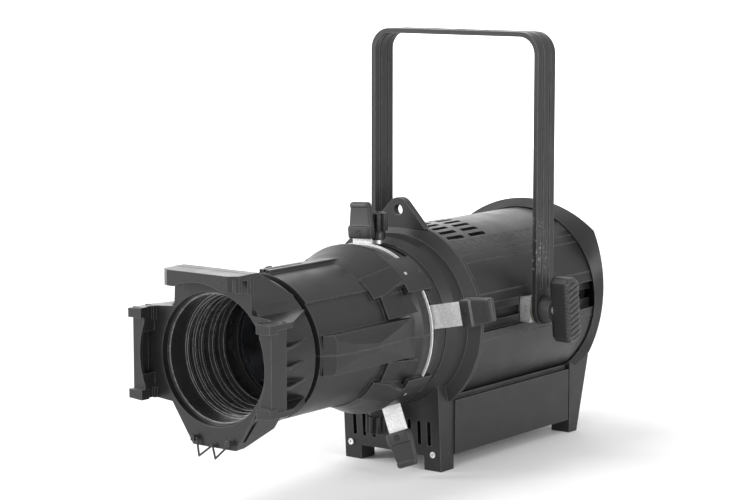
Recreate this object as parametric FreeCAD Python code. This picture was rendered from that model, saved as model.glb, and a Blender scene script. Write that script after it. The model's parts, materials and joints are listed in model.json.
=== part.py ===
import FreeCAD, Part
import os
from math import cos, sin, radians, degrees, atan2

# LED profile spotlight, in millimetres.
# Every shape is drawn about the lens axis: X to the operator's right when facing the beam's source,
# Y along the lens axis (the light leaves towards -Y) and Z up.  save() then moves it to the part's frame.

V = FreeCAD.Vector
AXIS_HEIGHT = 165.0        # lens axis above the floor
ORIGIN_SHIFT = 12.5        # puts the origin under the middle of the overall length
FLOOR = -AXIS_HEIGHT

# --- stations along the lens axis (Y) ---
HOLDER_FRONT = -327.5      # front lips of the colour frame holder
PLATE_FRONT = -304.0       # plate with the front opening
PLATE_BACK = -299.0
HOLDER_BACK = -234.0
FRAME_FRONT = -316.0       # room for the colour frame between its guides
FRAME_BACK = -308.0
BARREL_FRONT = -225.0
FLARE_START = -135.0
FLARE_END = -78.0
SHELL_BACK = -52.6
GATE_FRONT = -52.5         # two stainless plates with the four blades between them
GATE_BACK = -41.5
FLANGE_BACK = -37.5
NECK_FRONT = -36.0
BEZEL_FRONT = -22.0
BEZEL_BACK = 18.0
LIP_BACK = 26.0            # lip of the front casting inside the body
REAR_RING_FRONT = 258.0
REAR_RING_WIDEST = 271.0
REAR_END = 302.5

# --- standard colour frame, 158.75 mm square ---
FRAME_HALF = 79.4

# --- radii about the lens axis ---
OPENING_R = 69.4
SKIRT_R = 77.0
TUBE_R = 67.4              # sliding lens tube
BARREL_BORE_R = 68.0
BARREL_R = 76.5
FLARE_R = 93.5
SLOT_FLOOR_R = 88.5        # inner face of the posts that bridge the gate
RIM_R = 90.0               # barrel's rim in front of the silver gate edge
GATE_R = 92.5
GATE_APERTURE_R = 41.0
SPIGOT_R = 83.0
SPIGOT_BORE_R = 78.0
NECK_BORE_R = 83.6
NECK_R = 88.0
BODY_R = 102.0
BODY_BORE_R = 98.0
BEZEL_R = 110.7
REAR_BORE_R = 102.9
REAR_END_R = 82.5

# --- lower box and feet ---
FOOT_TOP = FLOOR + 16.5
FRONT_PANEL_HALF = 67.0
FRONT_FOOT_WIDTH = 22.8
FRONT_PANEL_DEPTH = 24.0
FRONT_PANEL_LEAN = 7.0
REAR_PANEL_HALF = 68.5
REAR_FOOT_WIDTH = 25.0
REAR_PANEL_FRONT = 260.5
REAR_PANEL_FOOT_BACK = 277.0
REAR_PANEL_TOP_BACK = 301.0
REAR_PANEL_TOP = -77.0
WALL = 4.0

# --- yoke and its pivots ---
PIVOT_Y = 130.0
PIVOT_Z = 7.0
YOKE_HALF = 116.5
YOKE_TOP = 319.0
YOKE_THICK = 5.5
YOKE_WIDTH = 35.0
YOKE_BEND = 25.0
BOLT_R = 5.0
RUNNING_FIT = 0.08
YOKE_HOLE_R = 6.5
SIDE_HOLE_R = 4.5
SIDE_HOLE_SPACING = 70.0
BLOCK_HALF_Y = 16.0
BLOCK_HALF_Z = 14.7
BLOCK_IN = 94.0
BLOCK_OUT = 108.0

# --- rotation lock knobs ---
KNOB_Y = -30.0
KNOB_STUD_R = 3.0
BARREL_SWING = 25.0

# --- shutters: seat order from the front, angle about the axis, place of the handle's inner end ---
SHUTTERS = {"top": (0, 93.0, 97.0), "bottom": (1, -69.0, 121.0),
            "right": (2, 11.6, 131.0), "left": (3, 191.6, 131.0)}
SEAT_FRONT = -50.8
SEAT_PITCH = 1.95
SHOE_THICK = 0.7
BLADE_THICK = 0.9
BLADE_GAP = 0.15
TANG_HALF = 13.0
BLADE_HALF = 37.0
HANDLE_LENGTH = 40.0
HANDLE_OUT = 140.0         # handle's inner end with the blade fully out
SHOULDER_OUT = 75.0        # blade's shoulder then, against the shoe
POST_HALF = 14.0           # half angle of the four posts that bridge the gate
POST_ANGLES = (45.0, 135.0, 225.0, 315.0)
POST_BACK = -36.6
POST_SCREW_Y = -39.5
GRUB_SCREW_Y = -66.0
RAIL_HALF = 21.0
RAIL_SCREW_X = 80.0
RAIL_SCREW_YS = (-205.0, -191.0)

# --- focus ---
FOCUS_ANGLE = 140.0
FOCUS_Y = -134.0
FOCUS_FORWARD = 55.0
FOCUS_BACK = 8.0

# --- rear fan and controls ---
FAN_Z = 32.0
FAN_HALF = 40.0
REAR_WALL_FRONT = 284.0
REAR_WALL_BACK = 288.0
CONTROL_Z = -52.0
BUTTON_R = 4.0
BUTTON_XS = (-27.0, -9.0, 9.0, 27.0)
BUTTON_Z = CONTROL_Z - 12.0
REAR_SCREW_R = 75.5
REAR_SCREW_ANGLES = (20.0, 160.0, 225.0, 315.0)
SOCKET_Z = -120.0


# ---------- helpers ----------
def box(x0, x1, y0, y1, z0, z1):
    return Part.makeBox(x1 - x0, y1 - y0, z1 - z0, V(x0, y0, z0))


def rod(r, y0, y1, x=0.0, z=0.0):
    return Part.makeCylinder(r, y1 - y0, V(x, y0, z), V(0, 1, 0))


def rod_x(r, x0, x1, y, z):
    return Part.makeCylinder(r, x1 - x0, V(x0, y, z), V(1, 0, 0))


def rod_z(r, z0, z1, x, y):
    return Part.makeCylinder(r, z1 - z0, V(x, y, z0), V(0, 0, 1))


def ring(r_out, r_in, y0, y1, x=0.0, z=0.0):
    return rod(r_out, y0, y1, x, z).cut(rod(r_in, y0 - 1, y1 + 1, x, z))


def spun(profile):
    """Solid of revolution about the lens axis from (radius, y) corners."""
    points = [V(r, y, 0) for r, y in profile]
    face = Part.Face(Part.makePolygon(points + points[:1]))
    return face.revolve(V(0, 0, 0), V(0, 1, 0), 360)


def prism_x(points, x0, x1):
    """Prism along X from (y, z) corners."""
    corners = [V(x0, y, z) for y, z in points]
    face = Part.Face(Part.makePolygon(corners + corners[:1]))
    return face.extrude(V(x1 - x0, 0, 0))


def prism_y(points, y0, y1):
    """Prism along Y from (x, z) corners."""
    corners = [V(x, y0, z) for x, z in points]
    face = Part.Face(Part.makePolygon(corners + corners[:1]))
    return face.extrude(V(0, y1 - y0, 0))


def prism_z(points, z0, z1):
    """Prism along Z from (x, y) corners."""
    corners = [V(x, y, z0) for x, y in points]
    face = Part.Face(Part.makePolygon(corners + corners[:1]))
    return face.extrude(V(0, 0, z1 - z0))


def turned(shape, angle):
    """Copy turned about the lens axis; the angle runs from +X up to +Z."""
    copy = shape.copy()
    copy.rotate(V(0, 0, 0), V(0, -1, 0), angle)
    return copy


def mirrored(shape):
    return shape.mirror(V(0, 0, 0), V(1, 0, 0))


def fused(shapes):
    whole = shapes[0]
    for shape in shapes[1:]:
        whole = whole.fuse(shape)
    return whole.removeSplitter()


def cut_all(shape, tools):
    for tool in tools:
        shape = shape.cut(tool)
    return shape


def sector(r_out, r_in, y0, y1, start, end):
    """Part of a ring between two angles, in degrees from +X up to +Z."""
    wedge = Part.makeCylinder(r_out, y1 - y0, V(0, 0, 0), V(0, 0, 1), end - start)
    wedge.rotate(V(0, 0, 0), V(1, 0, 0), 90)
    wedge.translate(V(0, y1, 0))
    return turned(wedge, start).cut(rod(r_in, y0 - 1, y1 + 1))


def slot_box(cx, cz, width, height, y0, y1):
    """Upright slot with round ends, cut along Y."""
    r = width / 2
    half = height / 2 - r
    middle = box(cx - r, cx + r, y0, y1, cz - half, cz + half)
    ends = [rod(r, y0, y1, cx, cz + half), rod(r, y0, y1, cx, cz - half)]
    return fused([middle] + ends)


# ---------- housing ----------
def front_casting():
    """Bezel ring and front panel with two feet, one die casting."""
    bezel = spun([(NECK_BORE_R, BEZEL_FRONT), (89.0, BEZEL_FRONT), (94.5, -9.0), (97.0, 7.0),
                  (BEZEL_R, 13.0), (BEZEL_R, BEZEL_BACK), (97.7, BEZEL_BACK), (97.7, LIP_BACK),
                  (91.0, LIP_BACK), (91.0, -6.0), (NECK_BORE_R, -6.0)])
    top = -62.0
    panel = prism_x([(0, FLOOR), (FRONT_PANEL_DEPTH, FLOOR), (FRONT_PANEL_DEPTH, top),
                     (-FRONT_PANEL_LEAN, top)], -FRONT_PANEL_HALF, FRONT_PANEL_HALF)
    inner_half = FRONT_PANEL_HALF - WALL
    hollow = prism_x([(WALL, FOOT_TOP + WALL), (FRONT_PANEL_DEPTH + 1, FOOT_TOP + WALL),
                      (FRONT_PANEL_DEPTH + 1, top + 1), (WALL - FRONT_PANEL_LEAN, top + 1)],
                     -inner_half, inner_half)
    foot_in = FRONT_PANEL_HALF - FRONT_FOOT_WIDTH
    notch = box(-foot_in, foot_in, -20, 40, FLOOR - 1, FOOT_TOP)
    panel = cut_all(panel, [hollow, notch, rod(94.0, -30, 7.0), rod(97.5, 6.9, BEZEL_BACK + 0.1),
                            rod(BODY_R + 0.1, BEZEL_BACK, 40)])
    vents = [slot_box(side * x, -123.0, 5.0, 28.0, -12, 12)
             for side in (-1, 1) for x in (25.0, 38.5, 52.0)]
    holes = [rod(2.1, -5, 12, side * 57.5, -146.0) for side in (-1, 1)]
    panel = cut_all(panel, vents + holes)
    return fused([bezel, panel])


def neck_ring():
    """Fixed ring that the barrel turns in, with an arc slot for each lock knob."""
    whole = ring(NECK_R, NECK_BORE_R, NECK_FRONT, BEZEL_FRONT)
    half = BARREL_SWING + 3.2
    half_width = KNOB_STUD_R + 0.6
    slots = [sector(NECK_R + 5, NECK_BORE_R - 5, KNOB_Y - half_width, KNOB_Y + half_width,
                    middle - half, middle + half) for middle in (90.0, 270.0)]
    return cut_all(whole, slots)


def t_slot_side():
    """Wall block on the +X side, before its channel is cut."""
    back = REAR_RING_FRONT + 4
    block = box(84.0, BODY_R, BEZEL_BACK, back, PIVOT_Z - 18.5, PIVOT_Z + 18.5)
    block = block.cut(rod(BODY_BORE_R, BEZEL_BACK - 1, LIP_BACK + 0.2))
    return block.common(rod(BODY_R - 0.5, BEZEL_BACK, back))


def t_slot_cut():
    groove = box(BLOCK_IN - 0.4, 120, 0, 300, PIVOT_Z - 15.4, PIVOT_Z + 15.4)
    neck = box(80, 120, 0, 300, PIVOT_Z - 5.6, PIVOT_Z + 5.6).cut(box(70, 86.5, 0, 300, -50, 50))
    cavity = box(86.5, 92.2, 0, 300, PIVOT_Z - 9.6, PIVOT_Z + 9.6)
    return fused([groove, neck, cavity])


def body_tube():
    """Extruded aluminium body with a T-slot along each side and vents on top."""
    back = REAR_RING_FRONT + 4
    whole = ring(BODY_R, BODY_BORE_R, BEZEL_BACK, back)
    whole = fused([whole, t_slot_side(), mirrored(t_slot_side())])
    whole = cut_all(whole, [t_slot_cut(), mirrored(t_slot_cut())])
    vent = box(BODY_BORE_R - 5, BODY_R + 5, -15.5, 15.5, -3.2, 3.2)
    tools = []
    for column in (54.0, 96.0):
        for row in range(9):
            tool = vent.copy()
            tool.translate(V(0, column, 0))
            tools.append(turned(tool, 63.0 + 6.75 * row))
    groove = box(BODY_R - 0.7, BODY_R + 3, 0, 300, -0.45, 0.45)
    for side in (0.0, 1.0):
        for rib in range(8):
            angle = 51.5 + 1.1 * rib
            tools.append(turned(groove, angle + side * (180.0 - 2 * angle)))
        for angle in (47.0, 41.0, 19.0, -10.0):
            tools.append(turned(groove, angle + side * (180.0 - 2 * angle)))
    return whole.cut(Part.makeCompound(tools))


def lower_tray():
    """Folded sheet that closes the box under the body."""
    half = 69.0
    sheet = 2.5
    front = FRONT_PANEL_DEPTH + 0.3
    back = REAR_PANEL_FRONT - 3.5
    outer = prism_y([(-half, FOOT_TOP), (half, FOOT_TOP), (half, -87.0), (64.0, -87.0), (64.0, -82.0),
                     (-64.0, -82.0), (-64.0, -87.0), (-half, -87.0)], front, back)
    inner = prism_y([(-half + sheet, FOOT_TOP + sheet), (half - sheet, FOOT_TOP + sheet),
                     (half - sheet, -89.5), (61.5, -89.5), (61.5, -70.0), (-61.5, -70.0),
                     (-61.5, -89.5), (-half + sheet, -89.5)], front - 1, back + 1)
    vents = [box(-35, 35, y, y + 5, FOOT_TOP - 1, FOOT_TOP + 4) for y in range(60, 220, 14)]
    return outer.cut(inner).cut(Part.makeCompound(vents))


def rear_panel_point(z):
    """Y of the sloping rear face at a height."""
    slope = (REAR_PANEL_TOP_BACK - REAR_PANEL_FOOT_BACK) / (REAR_PANEL_TOP - FLOOR)
    return REAR_PANEL_FOOT_BACK + slope * (z - FLOOR)


def on_rear_panel(shape, x, z):
    """Place a shape drawn about the origin, facing +Y, on the sloping rear face."""
    lean = degrees(atan2(REAR_PANEL_TOP_BACK - REAR_PANEL_FOOT_BACK, REAR_PANEL_TOP - FLOOR))
    copy = shape.copy()
    copy.rotate(V(0, 0, 0), V(1, 0, 0), -lean)
    copy.translate(V(x, rear_panel_point(z), z))
    return copy


def four_arcs(y, upper, lower, top, side, bottom):
    """Closed wire of four arcs, the same on both sides of the YZ plane."""
    upper_left = (-upper[0], upper[1])
    lower_left = (-lower[0], lower[1])
    runs = [(upper_left, (0, top), upper), (upper, (side, 0), lower),
            (lower, (0, -bottom), lower_left), (lower_left, (-side, 0), upper_left)]
    return Part.Wire([Part.Arc(*[V(x, y, z) for x, z in run]).toShape() for run in runs])


def round_outline(y, r):
    upper = (r * cos(radians(40.0)), r * sin(radians(40.0)))
    lower = (r * cos(radians(-37.0)), r * sin(radians(-37.0)))
    return four_arcs(y, upper, lower, r, r, r)


def rear_ring():
    """Ring that grows from round at the body to four shallow arcs, then tapers to the rear."""
    widest = four_arcs(REAR_RING_WIDEST, (93.5, 79.6), (88.6, -66.0), 112.5, 107.3, 108.0)
    front = Part.makeLoft([round_outline(REAR_RING_FRONT, REAR_BORE_R + 1.2), widest], True, True)
    rear = Part.makeLoft([widest, round_outline(REAR_END, REAR_END_R)], True, True)
    return fused([front, rear])


def rear_casting():
    """Rear ring, rear wall and rear panel with two feet, one die casting."""
    top = -62.0
    panel = prism_x([(REAR_PANEL_FRONT, FLOOR), (REAR_PANEL_FOOT_BACK, FLOOR),
                     (REAR_PANEL_TOP_BACK, REAR_PANEL_TOP), (REAR_PANEL_TOP_BACK, top),
                     (REAR_PANEL_FRONT, top)], -REAR_PANEL_HALF, REAR_PANEL_HALF)
    inner_half = REAR_PANEL_HALF - WALL
    hollow_foot = FOOT_TOP + WALL
    hollow = prism_x([(REAR_PANEL_FRONT - 1, hollow_foot), (rear_panel_point(hollow_foot) - WALL, hollow_foot),
                      (REAR_PANEL_TOP_BACK - WALL, REAR_PANEL_TOP), (REAR_PANEL_TOP_BACK - WALL, top + 1),
                      (REAR_PANEL_FRONT - 1, top + 1)], -inner_half, inner_half)
    foot_in = REAR_PANEL_HALF - REAR_FOOT_WIDTH
    notch = box(-foot_in, foot_in, 240, 320, FLOOR - 1, FOOT_TOP)
    whole = fused([rear_ring(), cut_all(panel, [hollow, notch])])
    inside = spun([(0, 250), (REAR_BORE_R, 250), (REAR_BORE_R, 265.0), (91.0, REAR_WALL_FRONT),
                   (0, REAR_WALL_FRONT)])
    recess = spun([(0, REAR_WALL_BACK), (88.5, REAR_WALL_BACK), (REAR_END_R - 4, REAR_END + 1), (0, REAR_END + 1)])
    fan_hole = rod(FAN_HALF - 2.5, 270, 320, 0, FAN_Z)
    plate_hole = box(-38, 38, 270, 320, CONTROL_Z - 21, CONTROL_Z + 21)
    tools = [inside, recess, fan_hole, plate_hole]
    for angle in REAR_SCREW_ANGLES:
        tools.append(turned(rod(2.1, 280, 295, REAR_SCREW_R, 0), angle))
    for x in (-48.0, 48.0):
        tools.append(on_rear_panel(box(-11, 11, -20, 10, -14, 14), x, SOCKET_Z))
    for x in (-16.0, 16.0):
        tools.append(on_rear_panel(rod(11, -20, 10), x, SOCKET_Z))
    return cut_all(whole, tools)


def safety_lug():
    """Plate on top of the bezel with the safety bond hole."""
    y0, y1 = 9.0, 18.0
    base = prism_y([(-37, 104), (37, 104), (9.5, 133.5), (-9.5, 133.5)], y0, y1)
    whole = fused([base, rod(14.0, y0, y1, 0, 123.0)])
    whole = whole.cut(rod(6.0, 0, 30, 0, 123.0))
    saddle = spun([(0, -9.0), (94.7, -9.0), (97.2, 7.0), (BEZEL_R + 0.1, 13.0), (BEZEL_R + 0.1, 30.0), (0, 30.0)])
    return whole.cut(saddle)


def cap_screw(r, length, head_r, head):
    """Screw along +Y from the origin, its head in front with a hexagon socket."""
    socket = prism_y([(0.5 * head_r * cos(radians(60 * k)), 0.5 * head_r * sin(radians(60 * k)))
                      for k in range(6)], -head - 1, -head * 0.4)
    return fused([rod(r, 0, length), rod(head_r, -head, 0)]).cut(socket)


def housing_screws():
    """Screws of the front panel and of the rear wall."""
    screws = []
    lean = FRONT_PANEL_LEAN * (-146.0 - FLOOR) / (-62.0 - FLOOR)
    for side in (-1, 1):
        screw = cap_screw(2.0, 11.0, 3.6, 1.8)
        screw.translate(V(side * 57.5, -lean - 0.3, -146.0))
        screws.append(screw)
    for angle in REAR_SCREW_ANGLES:
        screw = cap_screw(2.0, 6.0, 3.6, 1.8)
        screw.rotate(V(0, 0, 0), V(0, 0, 1), 180)
        screw.translate(V(REAR_SCREW_R, REAR_WALL_BACK + 0.1, 0))
        screws.append(turned(screw, angle))
    return Part.makeCompound(screws)


def reflector():
    """Light cone between the emitter and the gate, with its mounting flange."""
    return spun([(45.0, -35.0), (47.0, -35.0), (66.0, 34.0), (83.9, 34.0), (83.9, 36.0),
                 (66.0, 36.0), (66.0, 88.0), (64.0, 88.0), (64.0, 34.5)])


def dome_lens(r, flat_y, rim, bulge, direction):
    """Lens with a flat face at flat_y, a rim and a spherical bulge along direction."""
    sphere_r = (r * r + bulge * bulge) / (2 * bulge)
    top_y = flat_y + direction * (rim + bulge)
    y0, y1 = sorted((flat_y, top_y))
    ball = Part.makeSphere(sphere_r, V(0, top_y - direction * sphere_r, 0))
    return rod(r, y0, y1).common(ball)


def condenser_lens():
    """Plano-convex condenser."""
    return dome_lens(62.5, 44.0, 5.0, 12.0, 1)


def led_emitter():
    return ring(18.0, 0.5, 90.0, 92.4).fuse(rod(14.0, 89.0, 90.0)).cut(rod(0.5, 80, 91.5))


def led_board():
    board = rod(45.0, 92.5, 95.0)
    return cut_all(board, [rod(1.7, 90, 100, 38 * cos(a), 38 * sin(a)) for a in (0.8, 2.4, 3.9, 5.5)])


def heat_sink():
    """Round base with straight fins."""
    base = rod(82.0, 95.1, 104.0)
    fins = []
    for k in range(-7, 8):
        x = 10.5 * k
        half = (81.0 ** 2 - (abs(x) + 1.3) ** 2) ** 0.5
        fins.append(box(x - 1.3, x + 1.3, 103.5, 222.0, -half, half))
    return fused([base] + fins)


def driver_unit():
    """Power supply and driver in its own steel case, with slots along its sides."""
    sheet = 1.5
    x, y0, y1, z0, z1 = 52.0, 55.0, 225.0, FOOT_TOP + 3.5, -110.0
    case = box(-x, x, y0, y1, z0, z1)
    inside = box(-x + sheet, x - sheet, y0 + sheet, y1 - sheet, z0 + sheet, z1 - sheet)
    slots = [box(side * x - 3, side * x + 3, y, y + 3, -135, -118) for side in (-1, 1) for y in range(70, 210, 10)]
    return case.cut(inside).cut(Part.makeCompound(slots))


def fan_frame():
    """Square fan frame with a motor seat on four struts."""
    y0, y1 = 256.0, 281.0
    frame = box(-FAN_HALF, FAN_HALF, y0, y1, FAN_Z - FAN_HALF, FAN_Z + FAN_HALF)
    frame = frame.cut(rod(37.5, y0 - 1, y1 + 1, 0, FAN_Z))
    seat = rod(15.0, y0, y0 + 3, 0, FAN_Z)
    struts = []
    for angle in (45, 135, 225, 315):
        strut = box(12, 39, y0, y0 + 3, -2, 2)
        strut = turned(strut, angle)
        strut.translate(V(0, 0, FAN_Z))
        struts.append(strut)
    whole = fused([frame, seat] + struts)
    return whole.cut(rod(1.5 + RUNNING_FIT, y0 - 1, y1, 0, FAN_Z))


def fan_rotor():
    """Hub and seven blades on a steel shaft."""
    y0 = 260.0
    parts = [rod(14.0, y0, y0 + 15, 0, 0), rod(1.5, y0 - 3.6, y0 + 1, 0, 0)]
    for k in range(7):
        blade = box(12, 35.5, -0.8, 0.8, -8, 8)
        blade.rotate(V(0, 0, 0), V(1, 0, 0), 52)
        blade.translate(V(0, y0 + 7.5, 0))
        parts.append(turned(blade, 360.0 * k / 7))
    whole = fused(parts).common(rod(35.5, y0 - 4, y0 + 15.5))
    whole.translate(V(0, 0, FAN_Z))
    return whole


def fan_guard():
    """Pressed guard of flat rings and bars over the rear fan opening."""
    y0, y1 = REAR_WALL_BACK + 0.1, REAR_WALL_BACK + 1.7
    parts = [ring(r + 0.9, r - 0.9, y0, y1) for r in (8.0, 15.0, 22.0, 29.0, 36.0)]
    parts.append(rod(2.5, y0, y1))
    for angle in (45, 135):
        parts.append(turned(box(-44, 44, y0, y1, -1.2, 1.2), angle))
    whole = fused(parts)
    whole.translate(V(0, 0, FAN_Z))
    return whole


def control_panel():
    """Plate on the rear wall that carries the display and the buttons."""
    plate = box(-37.8, 37.8, REAR_WALL_FRONT + 0.5, REAR_WALL_BACK + 2, CONTROL_Z - 20.8, CONTROL_Z + 20.8)
    window = box(-26, 26, REAR_WALL_BACK, REAR_WALL_BACK + 5, CONTROL_Z - 2, CONTROL_Z + 16)
    holes = [rod(BUTTON_R + 0.35, 270, 300, x, BUTTON_Z) for x in BUTTON_XS]
    pads = [rod(BUTTON_R + 1.6, 270, REAR_WALL_BACK - 0.5, x, BUTTON_Z) for x in BUTTON_XS]
    return cut_all(plate, [window] + holes + pads)


def display_window():
    return box(-25.8, 25.8, REAR_WALL_BACK + 0.1, REAR_WALL_BACK + 1.8, CONTROL_Z - 1.8, CONTROL_Z + 15.8)


def button(x):
    """Push button: cap through the panel, with a flange behind it."""
    cap = rod(BUTTON_R, REAR_WALL_BACK - 3.5, REAR_WALL_BACK + 4.2, x, BUTTON_Z)
    flange = rod(BUTTON_R + 1.2, REAR_WALL_BACK - 2.3, REAR_WALL_BACK - 0.7, x, BUTTON_Z)
    return fused([cap, flange])


def power_sockets():
    """Mains inlet and outlet, the same moulding twice."""
    flange = box(-13.5, 13.5, 0.1, 2.1, -17, 17)
    shell = box(-10.8, 10.8, -18, 2.1, -13.8, 13.8)
    hollow = box(-8.8, 8.8, -14, 3, -11, 11)
    blades = [box(-1, 1, -15, -3, 3, 8), box(-6, -4, -15, -3, -6, -1), box(4, 6, -15, -3, -6, -1)]
    socket = fused([flange, shell]).cut(hollow)
    socket = fused([socket] + blades)
    return Part.makeCompound([on_rear_panel(socket, x, SOCKET_Z) for x in (-48.0, 48.0)])


def data_sockets():
    """Round five-pin data sockets, in and out."""
    flange = rod(14.0, 0.1, 2.1)
    shell = rod(10.8, -16, 2.1)
    hollow = rod(9.0, -10, 3)
    pins = [rod(1.1, -11, -2, 5.6 * cos(radians(a)), 5.6 * sin(radians(a))) for a in (10, 65, 120, 175, 270)]
    socket = fused([fused([flange, shell]).cut(hollow)] + pins)
    return Part.makeCompound([on_rear_panel(socket, x, SOCKET_Z) for x in (-16.0, 16.0)])


# ---------- yoke carriage ----------
def slide_block():
    """Block that slides in the body's side groove."""
    block = box(BLOCK_IN, BLOCK_OUT, PIVOT_Y - BLOCK_HALF_Y, PIVOT_Y + BLOCK_HALF_Y,
                PIVOT_Z - BLOCK_HALF_Z, PIVOT_Z + BLOCK_HALF_Z)
    groove = box(BLOCK_IN + 5, BLOCK_OUT - 3, PIVOT_Y - 30, PIVOT_Y - 8, PIVOT_Z - 4.5, PIVOT_Z + 4.5)
    other = groove.copy()
    other.translate(V(0, 38, 0))
    return cut_all(block, [groove, other, rod_x(BOLT_R + 0.1, 80, 130, PIVOT_Y, PIVOT_Z)])


def friction_disc():
    disc = rod_x(17.0, BLOCK_OUT + 0.05, YOKE_HALF - YOKE_THICK - 0.2, PIVOT_Y, PIVOT_Z)
    return disc.cut(rod_x(BOLT_R + 0.1, 80, 130, PIVOT_Y, PIVOT_Z))


def pivot_bolt():
    """Bolt whose square head runs in the T-slot."""
    head = box(87.0, 92.0, PIVOT_Y - 9, PIVOT_Y + 9, PIVOT_Z - 9, PIVOT_Z + 9)
    return fused([head, rod_x(BOLT_R, 91, 130, PIVOT_Y, PIVOT_Z)])


# ---------- yoke and levers ----------
def yoke_outline(half, top, bend, y0, y1):
    """Solid U turned upside down, with rounded upper corners."""
    body = box(-half, half, y0, y1, PIVOT_Z - YOKE_WIDTH / 2, top)
    edges = [e for e in body.Edges
             if abs(e.BoundBox.ZMin - top) < 0.01 and abs(e.BoundBox.ZMax - top) < 0.01 and e.BoundBox.YLength > 1]
    return body.makeFillet(bend, edges)


def yoke_strap():
    """Bent flat bar with two rolled grooves on each face."""
    y0, y1 = PIVOT_Y - YOKE_WIDTH / 2, PIVOT_Y + YOKE_WIDTH / 2
    outer = yoke_outline(YOKE_HALF, YOKE_TOP, YOKE_BEND, y0, y1)
    inner = yoke_outline(YOKE_HALF - YOKE_THICK, YOKE_TOP - YOKE_THICK, YOKE_BEND - YOKE_THICK, y0 - 1, y1 + 1)
    strap = outer.cut(inner)
    for shift in (-6.5, 6.5):
        g0, g1 = PIVOT_Y + shift - 1.8, PIVOT_Y + shift + 1.8
        skin = yoke_outline(YOKE_HALF + 1, YOKE_TOP + 1, YOKE_BEND + 1, g0, g1)
        skin = skin.cut(yoke_outline(YOKE_HALF - 0.7, YOKE_TOP - 0.7, YOKE_BEND - 0.7, g0 - 1, g1 + 1))
        lining = yoke_outline(YOKE_HALF - YOKE_THICK + 0.7, YOKE_TOP - YOKE_THICK + 0.7,
                              YOKE_BEND - YOKE_THICK + 0.7, g0, g1)
        above = box(-200, 200, g0 - 1, g1 + 1, PIVOT_Z + 24, 400)
        strap = strap.cut(skin.common(above)).cut(lining.common(above))
    keep_arm = fused([rod_x(YOKE_WIDTH / 2, -130, 130, PIVOT_Y, PIVOT_Z),
                      box(-130, 130, y0, y1, PIVOT_Z, YOKE_TOP + 1)])
    strap = strap.common(keep_arm)
    holes = [rod_x(BOLT_R + RUNNING_FIT, -130, 130, PIVOT_Y, PIVOT_Z),
             rod_z(YOKE_HOLE_R, 300, 330, 0, PIVOT_Y)]
    for side in (-1, 1):
        holes.append(rod_z(SIDE_HOLE_R, 300, 330, side * SIDE_HOLE_SPACING / 2, PIVOT_Y))
    return cut_all(strap, holes)


def clamp_lever():
    """Ribbed wing grip on a round hub, threaded on the pivot bolt."""
    hub = rod_x(15.5, YOKE_HALF + 0.5, 128.5, PIVOT_Y, PIVOT_Z)
    outline = [(-7, 31), (-2, 37), (13, 37), (19, 30), (25, -29), (20, -37), (5, -36), (0, -29)]
    grip = prism_x([(PIVOT_Y + y, PIVOT_Z + z) for y, z in outline], 126.5, 150.0)
    grip = grip.makeFillet(2.5, grip.Edges)
    whole = fused([hub, grip])
    ribs = [prism_x([(PIVOT_Y + 30, PIVOT_Z + z), (PIVOT_Y + 30, PIVOT_Z + z + 3),
                     (PIVOT_Y - 12, PIVOT_Z + z + 3 - 2), (PIVOT_Y - 12, PIVOT_Z + z - 2)], 148.2, 152)
            for z in range(-28, 30, 7)]
    return cut_all(whole, ribs + [rod_x(BOLT_R + RUNNING_FIT, 100, 134, PIVOT_Y, PIVOT_Z)])


# ---------- barrel ----------
def gate_posts(y0, y1):
    return [sector(FLARE_R, SLOT_FLOOR_R + 0.2, y0, y1, middle - POST_HALF, middle + POST_HALF)
            for middle in POST_ANGLES]


def flare(lift):
    """Solid under the flared skin of the barrel, with its rim in front of the gate."""
    return spun([(0, -122.0), (78.5 + lift, -122.0), (83.5 + lift, -104.0), (88.5 + lift, -90.0),
                 (FLARE_R, FLARE_END), (FLARE_R, FLARE_END + 4), (84.0, FLARE_END + 4), (84.0, -57.0),
                 (RIM_R, -57.0), (RIM_R, SHELL_BACK), (0, SHELL_BACK)])


def side_rail():
    """Raised rail along the seam of the two halves, with a long chamfer at its front."""
    profile = [(70.0, -221.5), (77.5, -221.5), (87.0, -211.0), (90.0, -181.0), (91.5, -143.0), (86.5, -95.0),
               (84.5, -78.0), (84.5, -74.0), (70.0, -74.0)]
    rail = prism_z(profile, -RAIL_HALF, RAIL_HALF)
    drafts = [prism_y([(93.0, 0), (120.0, 0), (120.0, side * 30.0), (81.4, side * 30.0)], -230, -60)
              for side in (-1, 1)]
    return cut_all(rail, drafts)


def shoulder(angle, side):
    """Bevelled block that joins one post to the barrel; the bevel faces the side rail."""
    section = [(70, -side * 15), (83.5, -side * 15), (92.0, -side * 8.5), (96.0, -side * 8.5),
               (96.0, side * 13), (70, side * 13)]
    return turned(prism_y(section, -122.0, FLARE_END), angle).common(flare(1.6))


def side_facet(angle):
    """Flat forward-facing facet between the side rail and one shoulder."""
    return turned(prism_z([(70.0, -111.0), (80.5, -111.0), (84.0, -80.0), (88.0, -66.0), (70.0, -66.0)],
                          -13.5, 13.5), angle)


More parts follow.
